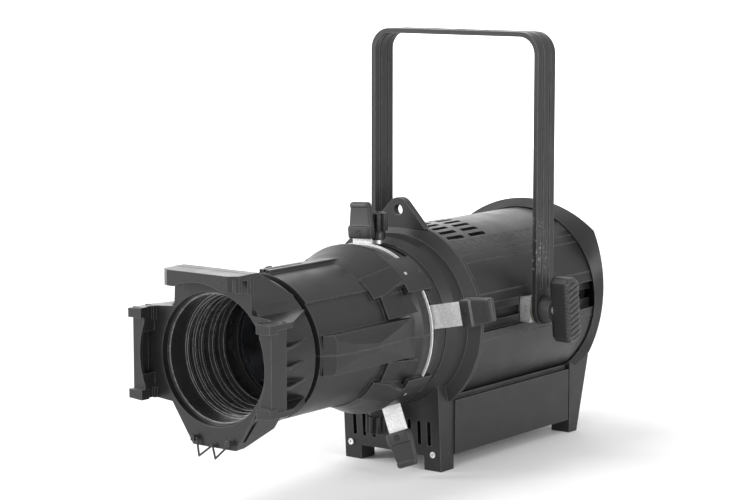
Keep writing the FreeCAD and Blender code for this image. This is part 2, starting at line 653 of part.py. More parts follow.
def barrel_whole():
    """Both halves of the barrel as one shape, before the split."""
    outside = spun([(0, BARREL_FRONT), (BARREL_R, BARREL_FRONT), (BARREL_R, -90.0), (83.0, -78.0), (85.5, -72.0),
                    (RIM_R, -65.0), (RIM_R, SHELL_BACK), (0, SHELL_BACK)])
    under = box(-100, 100, BARREL_FRONT - 1, FLARE_START, -100, -72.8)
    domes = [flare(0.0).common(sector(120, 10, -140, -40, start, start + 104.0)) for start in (38.0, 218.0)]
    saddle = sector(78.6, 70.0, BARREL_FRONT, -110.0, 43.0, 137.0)
    boss = prism_z([(-7, -222.0), (7, -222.0), (7, -106.0), (-7, -124.0)], 70.0, 82.5)
    quarters = [(45.0, 1), (135.0, -1), (225.0, 1), (315.0, -1)]
    shoulders = [shoulder(angle, side) for angle, side in quarters]
    facets = [side_facet(angle) for angle in (26.0, 154.0, 206.0, 334.0)]
    posts = gate_posts(FLARE_END, POST_BACK)
    rail = side_rail()
    rails = [rail, mirrored(rail)]
    outside = fused([outside.cut(under), saddle, boss] + rails + domes + shoulders + facets + posts)
    inside = spun([(0, BARREL_FRONT - 1), (BARREL_BORE_R, BARREL_FRONT - 1), (BARREL_BORE_R, -100.0),
                   (79.0, -72.0), (79.0, SHELL_BACK + 1), (0, SHELL_BACK + 1)])
    pocket = spun([(70.0, -98.0), (79.0, -98.0), (88.5, -86.0), (88.5, -78.5), (70.0, -78.5)])
    pockets = [pocket.common(sector(120, 10, -140, -40, start, start + 56.0)) for start in (62.0, 242.0)]
    groove = box(-1.5, 1.5, -223.0, -160.0, 79.5, 90.0)
    stud_track = box(60, 95, FOCUS_Y - FOCUS_FORWARD, FOCUS_Y + FOCUS_BACK,
                     -KNOB_STUD_R - 0.6, KNOB_STUD_R + 0.6)
    ends = [Part.makeCylinder(KNOB_STUD_R + 0.6, 35, V(60, y, 0), V(1, 0, 0))
            for y in (FOCUS_Y - FOCUS_FORWARD, FOCUS_Y + FOCUS_BACK)]
    track = turned(fused([stud_track] + ends), FOCUS_ANGLE)
    rail_holes = []
    for y in RAIL_SCREW_YS:
        rail_holes += [rod_z(1.6, -20.0, 20.0, RAIL_SCREW_X, y), rod_z(2.3, 16.4, 30.0, RAIL_SCREW_X, y)]
    post_holes = []
    for angle in POST_ANGLES:
        post_holes += [turned(rod_x(1.6, 80, 100, POST_SCREW_Y, 0), angle),
                       turned(rod_x(2.0, 90.4, 100, POST_SCREW_Y, 0), angle),
                       turned(rod_x(2.1, 83.9, 100, GRUB_SCREW_Y, 0), angle)]
    mirrored_holes = [mirrored(hole) for hole in rail_holes]
    return cut_all(outside, [inside, groove, track] + pockets + rail_holes + mirrored_holes + post_holes)


def barrel_half(upper):
    gap = 0.2
    if upper:
        keep = box(-120, 120, -300, 0, gap, 120)
    else:
        keep = box(-120, 120, -300, 0, -120, -gap)
    return barrel_whole().common(keep)


def barrel_ring():
    """Turned ring that the barrel rotates on, with its front flange."""
    whole = spun([(SPIGOT_BORE_R, GATE_BACK), (SLOT_FLOOR_R, GATE_BACK), (SLOT_FLOOR_R, FLANGE_BACK),
                  (SPIGOT_R, FLANGE_BACK), (SPIGOT_R, -1.0), (SPIGOT_BORE_R, -1.0)])
    studs = [Part.makeCylinder(KNOB_STUD_R + RUNNING_FIT, 20, V(0, KNOB_Y, side * 70), V(0, 0, side))
             for side in (-1, 1)]
    post_holes = [turned(rod_x(1.6, 85.5, 95.0, POST_SCREW_Y, 0), a) for a in POST_ANGLES]
    return cut_all(whole, studs + post_holes)


def retaining_ring():
    return ring(88.5, SPIGOT_R + 0.05, -5.2, -2.6)


def gate_plate_front():
    """Stainless plate with the gate aperture and notches for the posts."""
    y0, y1 = GATE_FRONT, GATE_FRONT + 1.5
    plate = ring(GATE_R, GATE_APERTURE_R, y0, y1)
    half = POST_HALF + 0.4
    notches = [sector(GATE_R + 5, SLOT_FLOOR_R, y0 - 1, y1 + 1, middle - half, middle + half)
               for middle in POST_ANGLES]
    return cut_all(plate, notches)


def gate_plate_rear():
    return ring(SLOT_FLOOR_R, GATE_APERTURE_R, GATE_BACK - 1.5, GATE_BACK)


def barrel_screws():
    """Screws and grub screws in the posts, and the screws that clamp the halves along the rails."""
    screws = []
    for angle in POST_ANGLES:
        screw = fused([rod_x(1.5, 86.0, 91.0, POST_SCREW_Y, 0), rod_x(1.9, 90.5, 92.0, POST_SCREW_Y, 0)])
        screws += [turned(screw, angle), turned(rod_x(2.0, 84.0, 93.9, GRUB_SCREW_Y, 0), angle)]
    for side in (-1, 1):
        for y in RAIL_SCREW_YS:
            x = side * RAIL_SCREW_X
            screws.append(fused([rod_z(1.5, -19.0, 17.0, x, y), rod_z(2.2, 16.5, 18.3, x, y)]))
    return Part.makeCompound(screws)


# ---------- lock knobs ----------
def lock_knob(side):
    """Star knob with its collar, washer and stud, standing out along side * Z."""
    stud = rod_z(KNOB_STUD_R, 79.0, 106.0, 0, KNOB_Y)
    washer = rod_z(6.5, 89.2, 94.0, 0, KNOB_Y)
    collar = rod_z(9.5, 94.0, 103.0, 0, KNOB_Y)
    star = rod_z(12.2, 103.0, 124.0, 0, KNOB_Y)
    flutes = []
    for k in range(8):
        angle = radians(45.0 * k)
        flutes.append(rod_z(2.6, 100.0, 130.0, 13.6 * cos(angle), KNOB_Y + 13.6 * sin(angle)))
    star = star.cut(Part.makeCompound(flutes))
    dish = rod_z(5.0, 121.5, 130.0, 0, KNOB_Y)
    whole = fused([stud, washer, collar, star]).cut(dish)
    if side < 0:
        whole.rotate(V(0, KNOB_Y, 0), V(0, 1, 0), 180)
    return whole


# ---------- shutters ----------
def seat_y(order):
    return SEAT_FRONT + SEAT_PITCH * order


def shutter_shoe(order, angle):
    """Guide plate that holds one blade's tang and turns with it about the lens axis."""
    y0 = seat_y(order)
    y1 = y0 + SHOE_THICK
    plate = sector(88.0, 77.0, y0, y1, -11.5, 11.5)
    guide_back = y1 + BLADE_GAP + BLADE_THICK
    guides = []
    for side in (-1, 1):
        z0, z1 = sorted((side * (TANG_HALF + 0.35), side * (TANG_HALF + 3.4)))
        guides.append(box(78.0, 86.0, y0 + 0.1, guide_back, z0, z1))
    return turned(fused([plate] + guides), angle)


def shutter_blade(order, angle, handle_in):
    """Blade with a wide inner part and a narrow tang."""
    y0 = seat_y(order) + SHOE_THICK + BLADE_GAP
    y1 = y0 + BLADE_THICK
    pull = handle_in - HANDLE_OUT
    inner = 42.5 + pull
    shoulder = SHOULDER_OUT + pull
    wide = prism_y([(inner, -BLADE_HALF), (shoulder - 12, -BLADE_HALF), (shoulder, -BLADE_HALF + 14),
                    (shoulder, BLADE_HALF - 14), (shoulder - 12, BLADE_HALF), (inner, BLADE_HALF)], y0, y1)
    tang = box(shoulder - 1, handle_in + 12, y0, y1, -TANG_HALF, TANG_HALF)
    return turned(fused([wide, tang]), angle)


def shutter_handle(order, angle, handle_in):
    """Tapered grip clamped on the tang with one screw."""
    middle = seat_y(order) + SHOE_THICK + BLADE_GAP + BLADE_THICK / 2
    front, back = middle - 6.5, middle + 3.5
    tip = handle_in + HANDLE_LENGTH
    grip = prism_y([(handle_in, -15.5), (handle_in + 9, -16.0), (tip - 2, -12.5), (tip, -10.5),
                    (tip, 10.5), (tip - 2, 12.5), (handle_in + 9, 16.0), (handle_in, 15.5)], front, back)
    grip = grip.makeChamfer(1.6, [e for e in grip.Edges if e.BoundBox.YLength < 0.01])
    hollow = box(handle_in - 1, handle_in + 12.1, middle - BLADE_THICK / 2 - 0.05,
                 middle + BLADE_THICK / 2 + 0.05, -TANG_HALF - 0.1, TANG_HALF + 0.1)
    recess = rod(3.4, front - 1, front + 1.4, handle_in + 6.5, 0)
    thin = prism_x([(front - 1, -20), (front + 2.2, -20), (front + 2.2, 20), (front - 1, 20)],
                   handle_in + 13.5, tip + 1)
    screw = rod(2.6, front + 0.2, front + 1.4, handle_in + 6.5, 0)
    slot = box(handle_in + 4.5, handle_in + 8.5, front, front + 0.8, -0.4, 0.4)
    whole = cut_all(grip, [hollow, recess, thin])
    return turned(whole.fuse(screw.cut(slot)), angle)


# ---------- lens tube group ----------
def lens_tube():
    """Sliding tube with stepped light baffles inside."""
    inner = [(66.0, -295.5), (66.0, -272.0), (63.0, -272.0), (63.0, -269.0), (65.0, -269.0), (65.0, -262.0),
             (61.5, -262.0), (61.5, -259.5), (64.5, -259.5), (64.5, -253.0), (60.5, -253.0), (60.5, -250.0),
             (64.0, -250.0), (64.0, -238.0), (58.5, -238.0), (58.5, -235.0), (64.0, -235.0), (64.0, -222.0),
             (57.5, -222.0), (57.5, -219.5), (64.0, -219.5), (64.0, -186.0), (58.0, -186.0), (58.0, -183.0),
             (64.0, -183.0), (64.0, -112.0)]
    outline = [(TUBE_R, -112.0), (TUBE_R, -295.5)] + inner
    tube = spun(outline)
    hole = Part.makeCylinder(KNOB_STUD_R + RUNNING_FIT, 30, V(50, FOCUS_Y, 0), V(1, 0, 0))
    return tube.cut(turned(hole, FOCUS_ANGLE))


def objective_lens():
    return dome_lens(63.7, -186.2, 6.0, 14.0, -1)


def lens_ring():
    """Ring that holds the lens against its seat."""
    return ring(63.8, 58.5, -198.0, -194.7)


def ledge(up):
    """Sloping end of a side channel that runs back to the skirt; up is 1 above and -1 below."""
    plan = [(50.0, -299.5), (77.0, -304.0), (77.0, HOLDER_FRONT), (94.7, HOLDER_FRONT), (94.7, -291.0),
            (66.0, -238.0), (50.0, -238.0)]
    z0, z1 = sorted((up * 41.0, up * 50.0))
    slope = prism_y([(45.0, up * 50.5), (120.0, up * 45.0), (120.0, up * 60.0), (45.0, up * 60.0)], -340, -230)
    space = box(0, FRAME_HALF + 0.8, FRAME_FRONT, FRAME_BACK, -60, 60)
    return prism_z(plan, z0, z1).cut(slope).cut(space)


def side_channel():
    """Channel, wall and ribs on the +X side of the frame holder."""
    wall = box(89.0, 92.5, HOLDER_FRONT + 5, -301.0, -43.0, 43.0)
    lip = box(77.0, 92.5, HOLDER_FRONT + 5, HOLDER_FRONT + 8.5, -48.0, 48.0)
    blocks = [box(77.0, 94.7, HOLDER_FRONT, FRAME_FRONT, z0, z1) for z0, z1 in ((37.5, 46.0), (-46.0, -37.5))]
    front = fused([lip] + blocks).cut(rod(83.6, -340, -310))
    guides = [box(FRAME_HALF + 0.8, FRAME_HALF + 2.8, HOLDER_FRONT + 6, PLATE_FRONT + 1, z0, z1)
              for z0, z1 in ((22.0, 46.0), (-46.0, -22.0))]
    stops = [box(77.0, FRAME_HALF + 2.8, FRAME_BACK, PLATE_FRONT + 1, z0, z1)
             for z0, z1 in ((34.0, 46.0), (-46.0, -37.0))]
    back = box(72.0, 92.5, PLATE_FRONT, -299.0, -48.0, 48.0)
    ribs = []
    for z, thick in ((20.0, 3.0), (0.0, 3.0), (-20.0, 3.0)):
        ribs.append(prism_z([(92.5, -301.0), (92.5, -292.0), (72.0, -240.0), (55.0, -236.0), (55.0, -301.0)],
                            z - thick / 2, z + thick / 2))
    return fused([wall, front, back, ledge(1), ledge(-1)] + guides + stops + ribs)


def top_channel():
    """Channel and sloping hood above the opening."""
    roof = prism_x([(HOLDER_FRONT, 91.5), (-291.0, 92.0), (-236.0, 62.3), (-236.0, 58.5), (-291.0, 88.0),
                    (HOLDER_FRONT, 88.0)], -50.0, 50.0)
    lip = box(-50.0, 50.0, HOLDER_FRONT, HOLDER_FRONT + 3.5, 75.0, 91.5).cut(rod(81.5, -330, -320))
    back = box(-50.0, 50.0, PLATE_FRONT, PLATE_BACK, 40.0, 92.0)
    cheek = prism_x([(HOLDER_FRONT, 91.5), (-291.0, 92.0), (-236.0, 62.3), (-236.0, 46.0), (-299.0, 46.0),
                     (-303.9, 72.0), (HOLDER_FRONT, 75.0)], 46.5, 50.0)
    window = box(40, 60, FRAME_FRONT, FRAME_BACK, 70.0, 86.0)
    slit = box(40, 60, -301.5, -299.3, 56.0, 84.0)
    cheek = cut_all(cheek, [window, slit])
    stops = [box(x - 2, x + 2, FRAME_FRONT, FRAME_BACK, FRAME_HALF + 0.8, 90.0) for x in (-30.0, 30.0)]
    whole = fused([roof, lip, back, cheek, mirrored(cheek)] + stops)
    corner = prism_z([(39.0, HOLDER_FRONT - 1), (51.0, HOLDER_FRONT - 1), (51.0, -320.0)], 60.0, 100.0)
    return cut_all(whole, [corner, mirrored(corner)])


def bottom_apron():
    """Tapered lower part of the plate with a slotted gusset along each slanted edge."""
    plate = prism_y([(-57, -48), (57, -48), (29, -91), (-27, -91)], PLATE_FRONT, PLATE_BACK)
    parts = [plate]
    for side in (-1, 1):
        corners = [(side * 56, -50), (side * 28, -91), (side * 24.5, -89), (side * 51, -50)]
        gusset = prism_y(corners, PLATE_FRONT, -255.0)
        slope = prism_x([(-330, -95.1), (-298.0, -95.1), (-250.0, -72.0), (-250, 0), (-330, 0)], -80, 80)
        slot = prism_y([(side * 54.3, -57.9), (side * 36.1, -84.5), (side * 27.3, -79.5), (side * 44.5, -54.2)],
                       -298.5, -293.0)
        parts.append(gusset.common(slope).cut(slot))
    return fused(parts)


def frame_holder():
    """Holder for colour frames: plate with opening, three channels and the skirt behind."""
    plate = prism_y([(-92.5, 47), (-52, 50), (-50, 92), (50, 92), (52, 50), (92.5, 47), (92.5, -47),
                     (55, -50), (-55, -50), (-92.5, -47)], PLATE_FRONT, PLATE_BACK)
    skirt = rod(SKIRT_R, PLATE_BACK - 1, HOLDER_BACK)
    parts = [plate, skirt, side_channel(), mirrored(side_channel()), top_channel(), bottom_apron()]
    lugs = [box(x0, x1, -310.6, PLATE_FRONT + 0.1, -86.0, -80.0) for x0, x1 in ((-26.0, -21.5), (21.5, 26.0))]
    whole = fused(parts + lugs)
    bore = fused([rod(OPENING_R, -350, -296.0), rod(TUBE_R + 0.2, -296.5, -200)])
    wire_hole = rod_x(1.1 + RUNNING_FIT, -60, 60, -308.0, -83.0)
    return cut_all(whole, [bore, wire_hole])


def wire_run(a, b, r):
    start = V(*a)
    direction = V(*b).sub(start)
    return Part.makeCylinder(r, direction.Length, start, direction)


def frame_clip():
    """Bent spring wire that keeps the frames in."""
    r = 1.1
    y = -308.0
    path = [(-26.0, y, -83.0), (-19.5, y, -83.0), (-16.5, y, -101.0), (0.0, y, -89.0), (1.5, y, -87.0),
            (5.5, y, -101.0), (18.5, y, -89.5), (19.5, y, -83.0), (26.0, y, -83.0)]
    parts = [wire_run(a, b, r) for a, b in zip(path[:-1], path[1:])]
    parts += [Part.makeSphere(r, V(*p)) for p in path[1:-1]]
    whole = parts[0]
    for part in parts[1:]:
        whole = whole.fuse(part)
    return whole


def focus_knob():
    """Knurled knob on a stud that runs into the lens tube."""
    stud = rod_x(KNOB_STUD_R, 65.0, 86.0, FOCUS_Y, 0)
    cap = rod_x(11.0, 84.5, 98.0, FOCUS_Y, 0)
    flutes = []
    for k in range(10):
        angle = radians(36.0 * k)
        flutes.append(rod_x(1.6, 80.0, 110.0, FOCUS_Y + 11.6 * cos(angle), 11.6 * sin(angle)))
    cap = cap.cut(Part.makeCompound(flutes))
    return turned(fused([stud, cap]), FOCUS_ANGLE)


# ---------- output ----------
def save(name, shape):
    moved = shape.copy()
    moved.translate(V(0, ORIGIN_SHIFT, AXIS_HEIGHT))
    if not moved.isValid():
        print("not valid:", name)
    moved.exportStep("parts/%s.step" % name)
    bounds = moved.BoundBox
    print("%-22s %7.1f cm3  x %.1f %.1f  y %.1f %.1f  z %.1f %.1f" % (
        name, moved.Volume / 1000, bounds.XMin, bounds.XMax, bounds.YMin, bounds.YMax, bounds.ZMin, bounds.ZMax))


def build():
    os.makedirs("parts", exist_ok=True)
    for maker in (front_casting, neck_ring, body_tube, lower_tray, rear_casting, safety_lug, housing_screws,
                  reflector, condenser_lens, led_emitter, led_board, heat_sink, driver_unit, fan_frame,
                  fan_rotor, fan_guard, control_panel, display_window, power_sockets, data_sockets,
                  yoke_strap, barrel_ring, retaining_ring, barrel_screws, gate_plate_front,
                  gate_plate_rear, lens_tube, objective_lens, lens_ring, frame_holder, frame_clip, focus_knob):
        save(maker.__name__, maker())
    for number, x in enumerate(BUTTON_XS, 1):
        save("button_%d" % number, button(x))
    for maker in (slide_block, friction_disc, pivot_bolt, clamp_lever):
        shape = maker()
        save(maker.__name__ + "_right", shape)
        save(maker.__name__ + "_left", mirrored(shape))
    save("barrel_upper", barrel_half(True))
    save("barrel_lower", barrel_half(False))
    save("lock_knob_top", lock_knob(1))
    save("lock_knob_bottom", lock_knob(-1))
    for side, (order, angle, handle_in) in SHUTTERS.items():
        save("shutter_shoe_" + side, shutter_shoe(order, angle))
        save("shutter_blade_" + side, shutter_blade(order, angle, handle_in))
        save("shutter_handle_" + side, shutter_handle(order, angle, handle_in))


build()
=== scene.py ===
"""Looks of the profile spotlight: studio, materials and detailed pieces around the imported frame."""

import json
from math import cos, pi, radians, sin

import bmesh
import bpy
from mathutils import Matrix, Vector


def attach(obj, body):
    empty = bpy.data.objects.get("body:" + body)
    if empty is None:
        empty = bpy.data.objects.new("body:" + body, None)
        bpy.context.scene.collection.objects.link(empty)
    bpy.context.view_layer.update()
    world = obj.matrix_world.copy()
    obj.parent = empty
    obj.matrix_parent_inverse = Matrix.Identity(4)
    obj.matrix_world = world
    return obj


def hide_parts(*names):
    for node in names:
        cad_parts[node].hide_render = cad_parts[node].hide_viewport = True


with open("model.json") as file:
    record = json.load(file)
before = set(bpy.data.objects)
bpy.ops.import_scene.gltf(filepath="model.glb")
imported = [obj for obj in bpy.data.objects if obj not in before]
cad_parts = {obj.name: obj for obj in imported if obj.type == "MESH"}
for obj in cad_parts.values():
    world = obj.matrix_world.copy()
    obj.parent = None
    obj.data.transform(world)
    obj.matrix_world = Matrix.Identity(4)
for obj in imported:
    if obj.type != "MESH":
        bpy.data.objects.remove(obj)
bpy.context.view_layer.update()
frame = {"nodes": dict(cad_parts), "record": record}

AXIS_Z = 0.165             # lens axis above the floor
AXIS_SHIFT = 0.0125        # from the lens coordinates below to the frame's Y
MM = 0.001
# Lens coordinates, in millimetres and degrees.
PIVOT_Y = 130.0            # yoke pivot
PIVOT_Z = 7.0
KNOB_Y = -30.0             # barrel lock knobs
FOCUS_Y = -134.0           # focus knob
FOCUS_ANGLE = 140.0
LEVER_LOW = -37.5          # ends of a clamp lever's grip, from the pivot
LEVER_HIGH = 37.6
LEVER_STEPS = 150
OUTLINE_POINTS = 72        # points round a squared section
# Shutters: name, direction round the axis, start of the grip, middle of the blade's thickness.
SHUTTERS = (("top", 93.0, 97.0, -49.5), ("bottom", -69.0, 121.0, -47.55),
            ("right", 11.6, 131.0, -45.6), ("left", 191.6, 131.0, -43.65))


# ---------- camera, floor and light ----------
def add_camera():
    data = bpy.data.cameras.new("camera")
    data.sensor_width = 36.0
    data.lens = 110.12
    camera = bpy.data.objects.new("camera", data)
    camera.location = (1.5172, -2.0109, 0.5924)
    camera.rotation_euler = (radians(82.15), 0.0, radians(37.32))
    bpy.context.collection.objects.link(camera)
    bpy.context.scene.camera = camera


def add_floor():
    """Pale floor that sweeps up into a wall far behind the light."""
    profile = [(-9.0, 0.0), (3.0, 0.0), (4.2, 0.12), (5.1, 0.5), (5.6, 1.2), (5.8, 2.2), (5.8, 6.0)]
    mesh = bpy.data.meshes.new("floor")
    verts = [(x, y, z) for y, z in profile for x in (-9.0, 9.0)]
    faces = [(2 * k, 2 * k + 1, 2 * k + 3, 2 * k + 2) for k in range(len(profile) - 1)]
    mesh.from_pydata(verts, [], faces)
    floor = bpy.data.objects.new("floor", mesh)
    floor.rotation_euler = (0.0, 0.0, radians(37.3))
    bpy.context.collection.objects.link(floor)
    for polygon in mesh.polygons:
        polygon.use_smooth = True
    material = bpy.data.materials.new("floor_pale")
    material.use_nodes = True
    shader = material.node_tree.nodes["Principled BSDF"]
    shader.inputs["Base Color"].default_value = (0.93, 0.93, 0.93, 1.0)
    shader.inputs["Roughness"].default_value = 0.85
    mesh.materials.append(material)


def add_area(name, location, target, size, power):
    data = bpy.data.lights.new(name, "AREA")
    data.shape = "RECTANGLE"
    data.size, data.size_y = size
    data.energy = power
    light = bpy.data.objects.new(name, data)
    light.location = location
    light.rotation_euler = (Vector(target) - Vector(location)).to_track_quat("-Z", "Y").to_euler()
    bpy.context.collection.objects.link(light)


def add_lights():
    world = bpy.data.worlds.new("studio")
    world.use_nodes = True
    world.node_tree.nodes["Background"].inputs["Color"].default_value = (1.0, 1.0, 1.0, 1.0)
    world.node_tree.nodes["Background"].inputs["Strength"].default_value = 0.8
    bpy.context.scene.world = world
    middle = (0.0, 0.0, 0.2)
    add_area("overhead", (-0.9, -0.4, 2.6), middle, (1.4, 1.0), 27.0)
    add_area("front_left", (-1.9, -2.0, 1.2), middle, (0.8, 1.3), 46.0)
    add_area("right", (2.8, -0.3, 0.9), middle, (0.7, 1.3), 34.0)
    add_area("into_tube", (0.9, -3.2, 1.1), (0.0, -0.2, 0.16), (0.7, 0.5), 16.0)
    add_area("backdrop", (-1.8, 2.4, 2.6), (-3.6, 4.7, 0.2), (4.0, 2.0), 160.0)
    bpy.context.scene.view_settings.view_transform = "Standard"


# ---------- materials ----------
class Paint:
    """A node material under construction."""

    def __init__(self, name):
        self.material = bpy.data.materials.new(name)
        self.material.use_nodes = True
        self.tree = self.material.node_tree
        self.shader = self.tree.nodes["Principled BSDF"]
        self.place = self.add("ShaderNodeTexCoord").outputs["Object"]

    def add(self, kind, **settings):
        node = self.tree.nodes.new(kind)
        for key, value in settings.items():
            setattr(node, key, value)
        return node

    def link(self, a, b):
        self.tree.links.new(a, b)

    def set(self, **values):
        for key, value in values.items():
            self.shader.inputs[key.replace("_", " ")].default_value = value

    def stretched(self, scale):
        """Coordinates scaled along each axis."""
        node = self.add("ShaderNodeMapping")
        node.inputs["Scale"].default_value = scale
        self.link(self.place, node.inputs["Vector"])
        return node.outputs["Vector"]

    def noise(self, scale, detail=4.0, rough=0.55, vector=None):
        node = self.add("ShaderNodeTexNoise")
        node.inputs["Scale"].default_value = scale
        node.inputs["Detail"].default_value = detail
        node.inputs["Roughness"].default_value = rough
        self.link(vector or self.place, node.inputs["Vector"])
        return node.outputs["Fac"]

    def ramp(self, factor, stops):
        """Colour ramp; stops are (place, grey or colour)."""
        node = self.add("ShaderNodeValToRGB")
        elements = node.color_ramp.elements
        while len(elements) < len(stops):
            elements.new(0.5)
        for element, (place, colour) in zip(elements, stops):
            element.position = place
            element.color = (colour, colour, colour, 1.0) if isinstance(colour, float) else (*colour, 1.0)
        self.link(factor, node.inputs["Fac"])
        return node.outputs["Color"]

    def mix(self, factor, a, b, blend="MIX"):
        """Colour mix; a and b are sockets or colours."""
        node = self.add("ShaderNodeMix", data_type="RGBA", blend_type=blend)
        for socket, value in ((node.inputs["Factor"], factor), (node.inputs[6], a), (node.inputs[7], b)):
            if isinstance(value, (float, int)):
                socket.default_value = value
            elif isinstance(value, tuple):
                socket.default_value = (*value, 1.0)
            else:
                self.link(value, socket)
        return node.outputs[2]

    def math(self, operation, a, b=0.0, clamp=False):
        node = self.add("ShaderNodeMath", operation=operation, use_clamp=clamp)
        for socket, value in ((node.inputs[0], a), (node.inputs[1], b)):
            if isinstance(value, (float, int)):
                socket.default_value = value
            else:
                self.link(value, socket)
        return node.outputs[0]

    def edges(self, radius):
        """1 at sharp outer and inner edges, 0 on open faces."""
        bevel = self.add("ShaderNodeBevel", samples=6)
        bevel.inputs["Radius"].default_value = radius
        geometry = self.add("ShaderNodeNewGeometry")
        dot = self.add("ShaderNodeVectorMath", operation="DOT_PRODUCT")
        self.link(bevel.outputs["Normal"], dot.inputs[0])
        self.link(geometry.outputs["Normal"], dot.inputs[1])
        return self.math("MULTIPLY", self.math("SUBTRACT", 1.0, dot.outputs["Value"], True), 5.0, True)

    def relief(self, heights, soft_edge=0.0):
        """Bump from (height socket, strength, distance) with edges rounded by soft_edge metres."""
        normal = None
        if soft_edge:
            bevel = self.add("ShaderNodeBevel", samples=6)
            bevel.inputs["Radius"].default_value = soft_edge
            normal = bevel.outputs["Normal"]
        for height, strength, distance in heights:
            bump = self.add("ShaderNodeBump")
            bump.inputs["Strength"].default_value = strength
            bump.inputs["Distance"].default_value = distance
            self.link(height, bump.inputs["Height"])
            if normal is not None:
                self.link(normal, bump.inputs["Normal"])
            normal = bump.outputs["Normal"]
        if normal is not None:
            self.link(normal, self.shader.inputs["Normal"])


def black_paint(name, grey, rough, grain, soft_edge, edge_wear_and_highlight, chips=None, edge_bare_and_highlight_grey=0.2, shine=0.36):
    """Textured black paint, lighter grey on its sharp edges, partly worn bare paint and partly painted
    highlight; chips is a place knocked by handling.
    """
    paint = Paint(name)
    cloud = paint.noise(14.0, 3.0)
    tone = paint.ramp(cloud, [(0.3, 0.82 * grey), (0.7, 1.15 * grey)])
    speck = paint.noise(grain, 2.0, 0.6)
    tone = paint.mix(0.35, tone, paint.ramp(speck, [(0.35, 0.6 * grey), (0.65, 1.5 * grey)]))
    patches = paint.ramp(paint.noise(160.0, 3.0), [(0.4, 0.6), (0.6, 1.0)])
    # painted highlight and wear: sharp outer and inner edges are lightened towards a grey, standing partly
    # for worn bare paint and partly for the light that edges catch
    edge_wear_and_highlight_mask = paint.math("MULTIPLY", paint.edges(0.0013), patches)
    tone = paint.mix(paint.math("MULTIPLY", edge_wear_and_highlight_mask, edge_wear_and_highlight), tone, (edge_bare_and_highlight_grey, edge_bare_and_highlight_grey, edge_bare_and_highlight_grey))
    if chips is not None:
        gap = paint.add("ShaderNodeVectorMath", operation="DISTANCE")
        paint.link(paint.place, gap.inputs[0])
        gap.inputs[1].default_value = chips
        near = paint.ramp(gap.outputs["Value"], [(0.014, 1.0), (0.04, 0.0)])
        spots = paint.ramp(paint.noise(260.0, 5.0, 0.7), [(0.59, 0.0), (0.61, 1.0)])
        streaks = paint.noise(1.0, 5.0, 0.7, paint.stretched((300.0, 500.0, 60.0)))
        lines = paint.ramp(streaks, [(0.66, 0.0), (0.68, 0.8)])
        knocked = paint.math("MULTIPLY", near, paint.math("MAXIMUM", spots, lines))
        tone = paint.mix(knocked, tone, (0.3, 0.3, 0.3))
    paint.link(tone, paint.shader.inputs["Base Color"])
    gloss = paint.ramp(paint.noise(30.0, 4.0), [(0.3, rough - 0.06), (0.7, rough + 0.06)])
    paint.link(gloss, paint.shader.inputs["Roughness"])
    paint.set(Specular_IOR_Level=shine)
    paint.relief([(speck, 0.25, 0.00025)], soft_edge)
    return paint.material


def brushed_steel(name, tone, rough, metallic):
    """Stainless sheet ground with overlapping swirls."""
    paint = Paint(name)
    waves = [paint.add("ShaderNodeTexWave", wave_type="RINGS", rings_direction=axis)
             for axis in ("X", "Y", "Z")]
    for wave, place in zip(waves, ((9.0, 9.0, 9.0), (14.0, 7.0, 12.0), (6.0, 12.0, 15.0))):
        wave.inputs["Scale"].default_value = 3.0
        wave.inputs["Distortion"].default_value = 22.0
        wave.inputs["Detail"].default_value = 4.0
        wave.inputs["Detail Scale"].default_value = 3.0
        paint.link(paint.stretched(place), wave.inputs["Vector"])
    scribble = paint.math("MAXIMUM", waves[0].outputs["Fac"], waves[2].outputs["Fac"])
    scribble = paint.math("MULTIPLY", scribble, waves[1].outputs["Fac"])
    fine = paint.noise(1.0, 6.0, 0.7, paint.stretched((700.0, 700.0, 120.0)))
    colour = paint.mix(0.4, paint.ramp(scribble, [(0.2, 0.8 * tone), (0.7, 1.08 * tone)]),
                       paint.ramp(fine, [(0.35, 0.85 * tone), (0.62, 1.05 * tone)]))
    paint.link(colour, paint.shader.inputs["Base Color"])
    gloss = paint.ramp(fine, [(0.3, rough - 0.07), (0.7, rough + 0.07)])
    paint.link(gloss, paint.shader.inputs["Roughness"])
    paint.set(Metallic=metallic)
    paint.relief([(scribble, 0.15, 0.0001), (fine, 0.12, 0.0001)], 0.0002)
    return paint.material


def lens_glass(name):
    """Coated glass, seen mostly by its reflections."""
    paint = Paint(name)
    tint = paint.ramp(paint.noise(6.0, 2.0), [(0.3, (0.82, 0.86, 0.95)), (0.7, (0.9, 0.88, 0.97))])
    paint.link(tint, paint.shader.inputs["Base Color"])
    paint.set(Transmission_Weight=1.0, Roughness=0.03, IOR=1.5)
    dust = paint.noise(700.0, 2.0)
    paint.relief([(dust, 0.02, 0.00005)])
    return paint.material


def speckled(name, dark, light, rough, scale, metallic=0.0, bump=0.2):
    """Moulded, printed or cast surface with a fine grain."""
    paint = Paint(name)
    grain = paint.noise(scale, 4.0, 0.6)
    tone = paint.ramp(grain, [(0.35, dark), (0.65, light)])
    paint.link(tone, paint.shader.inputs["Base Color"])
    gloss = paint.ramp(paint.noise(0.2 * scale, 3.0), [(0.3, rough - 0.05), (0.7, rough + 0.05)])
    paint.link(gloss, paint.shader.inputs["Roughness"])
    paint.set(Metallic=metallic)
    paint.relief([(grain, bump, 0.0002)], 0.0003)
    return paint.material


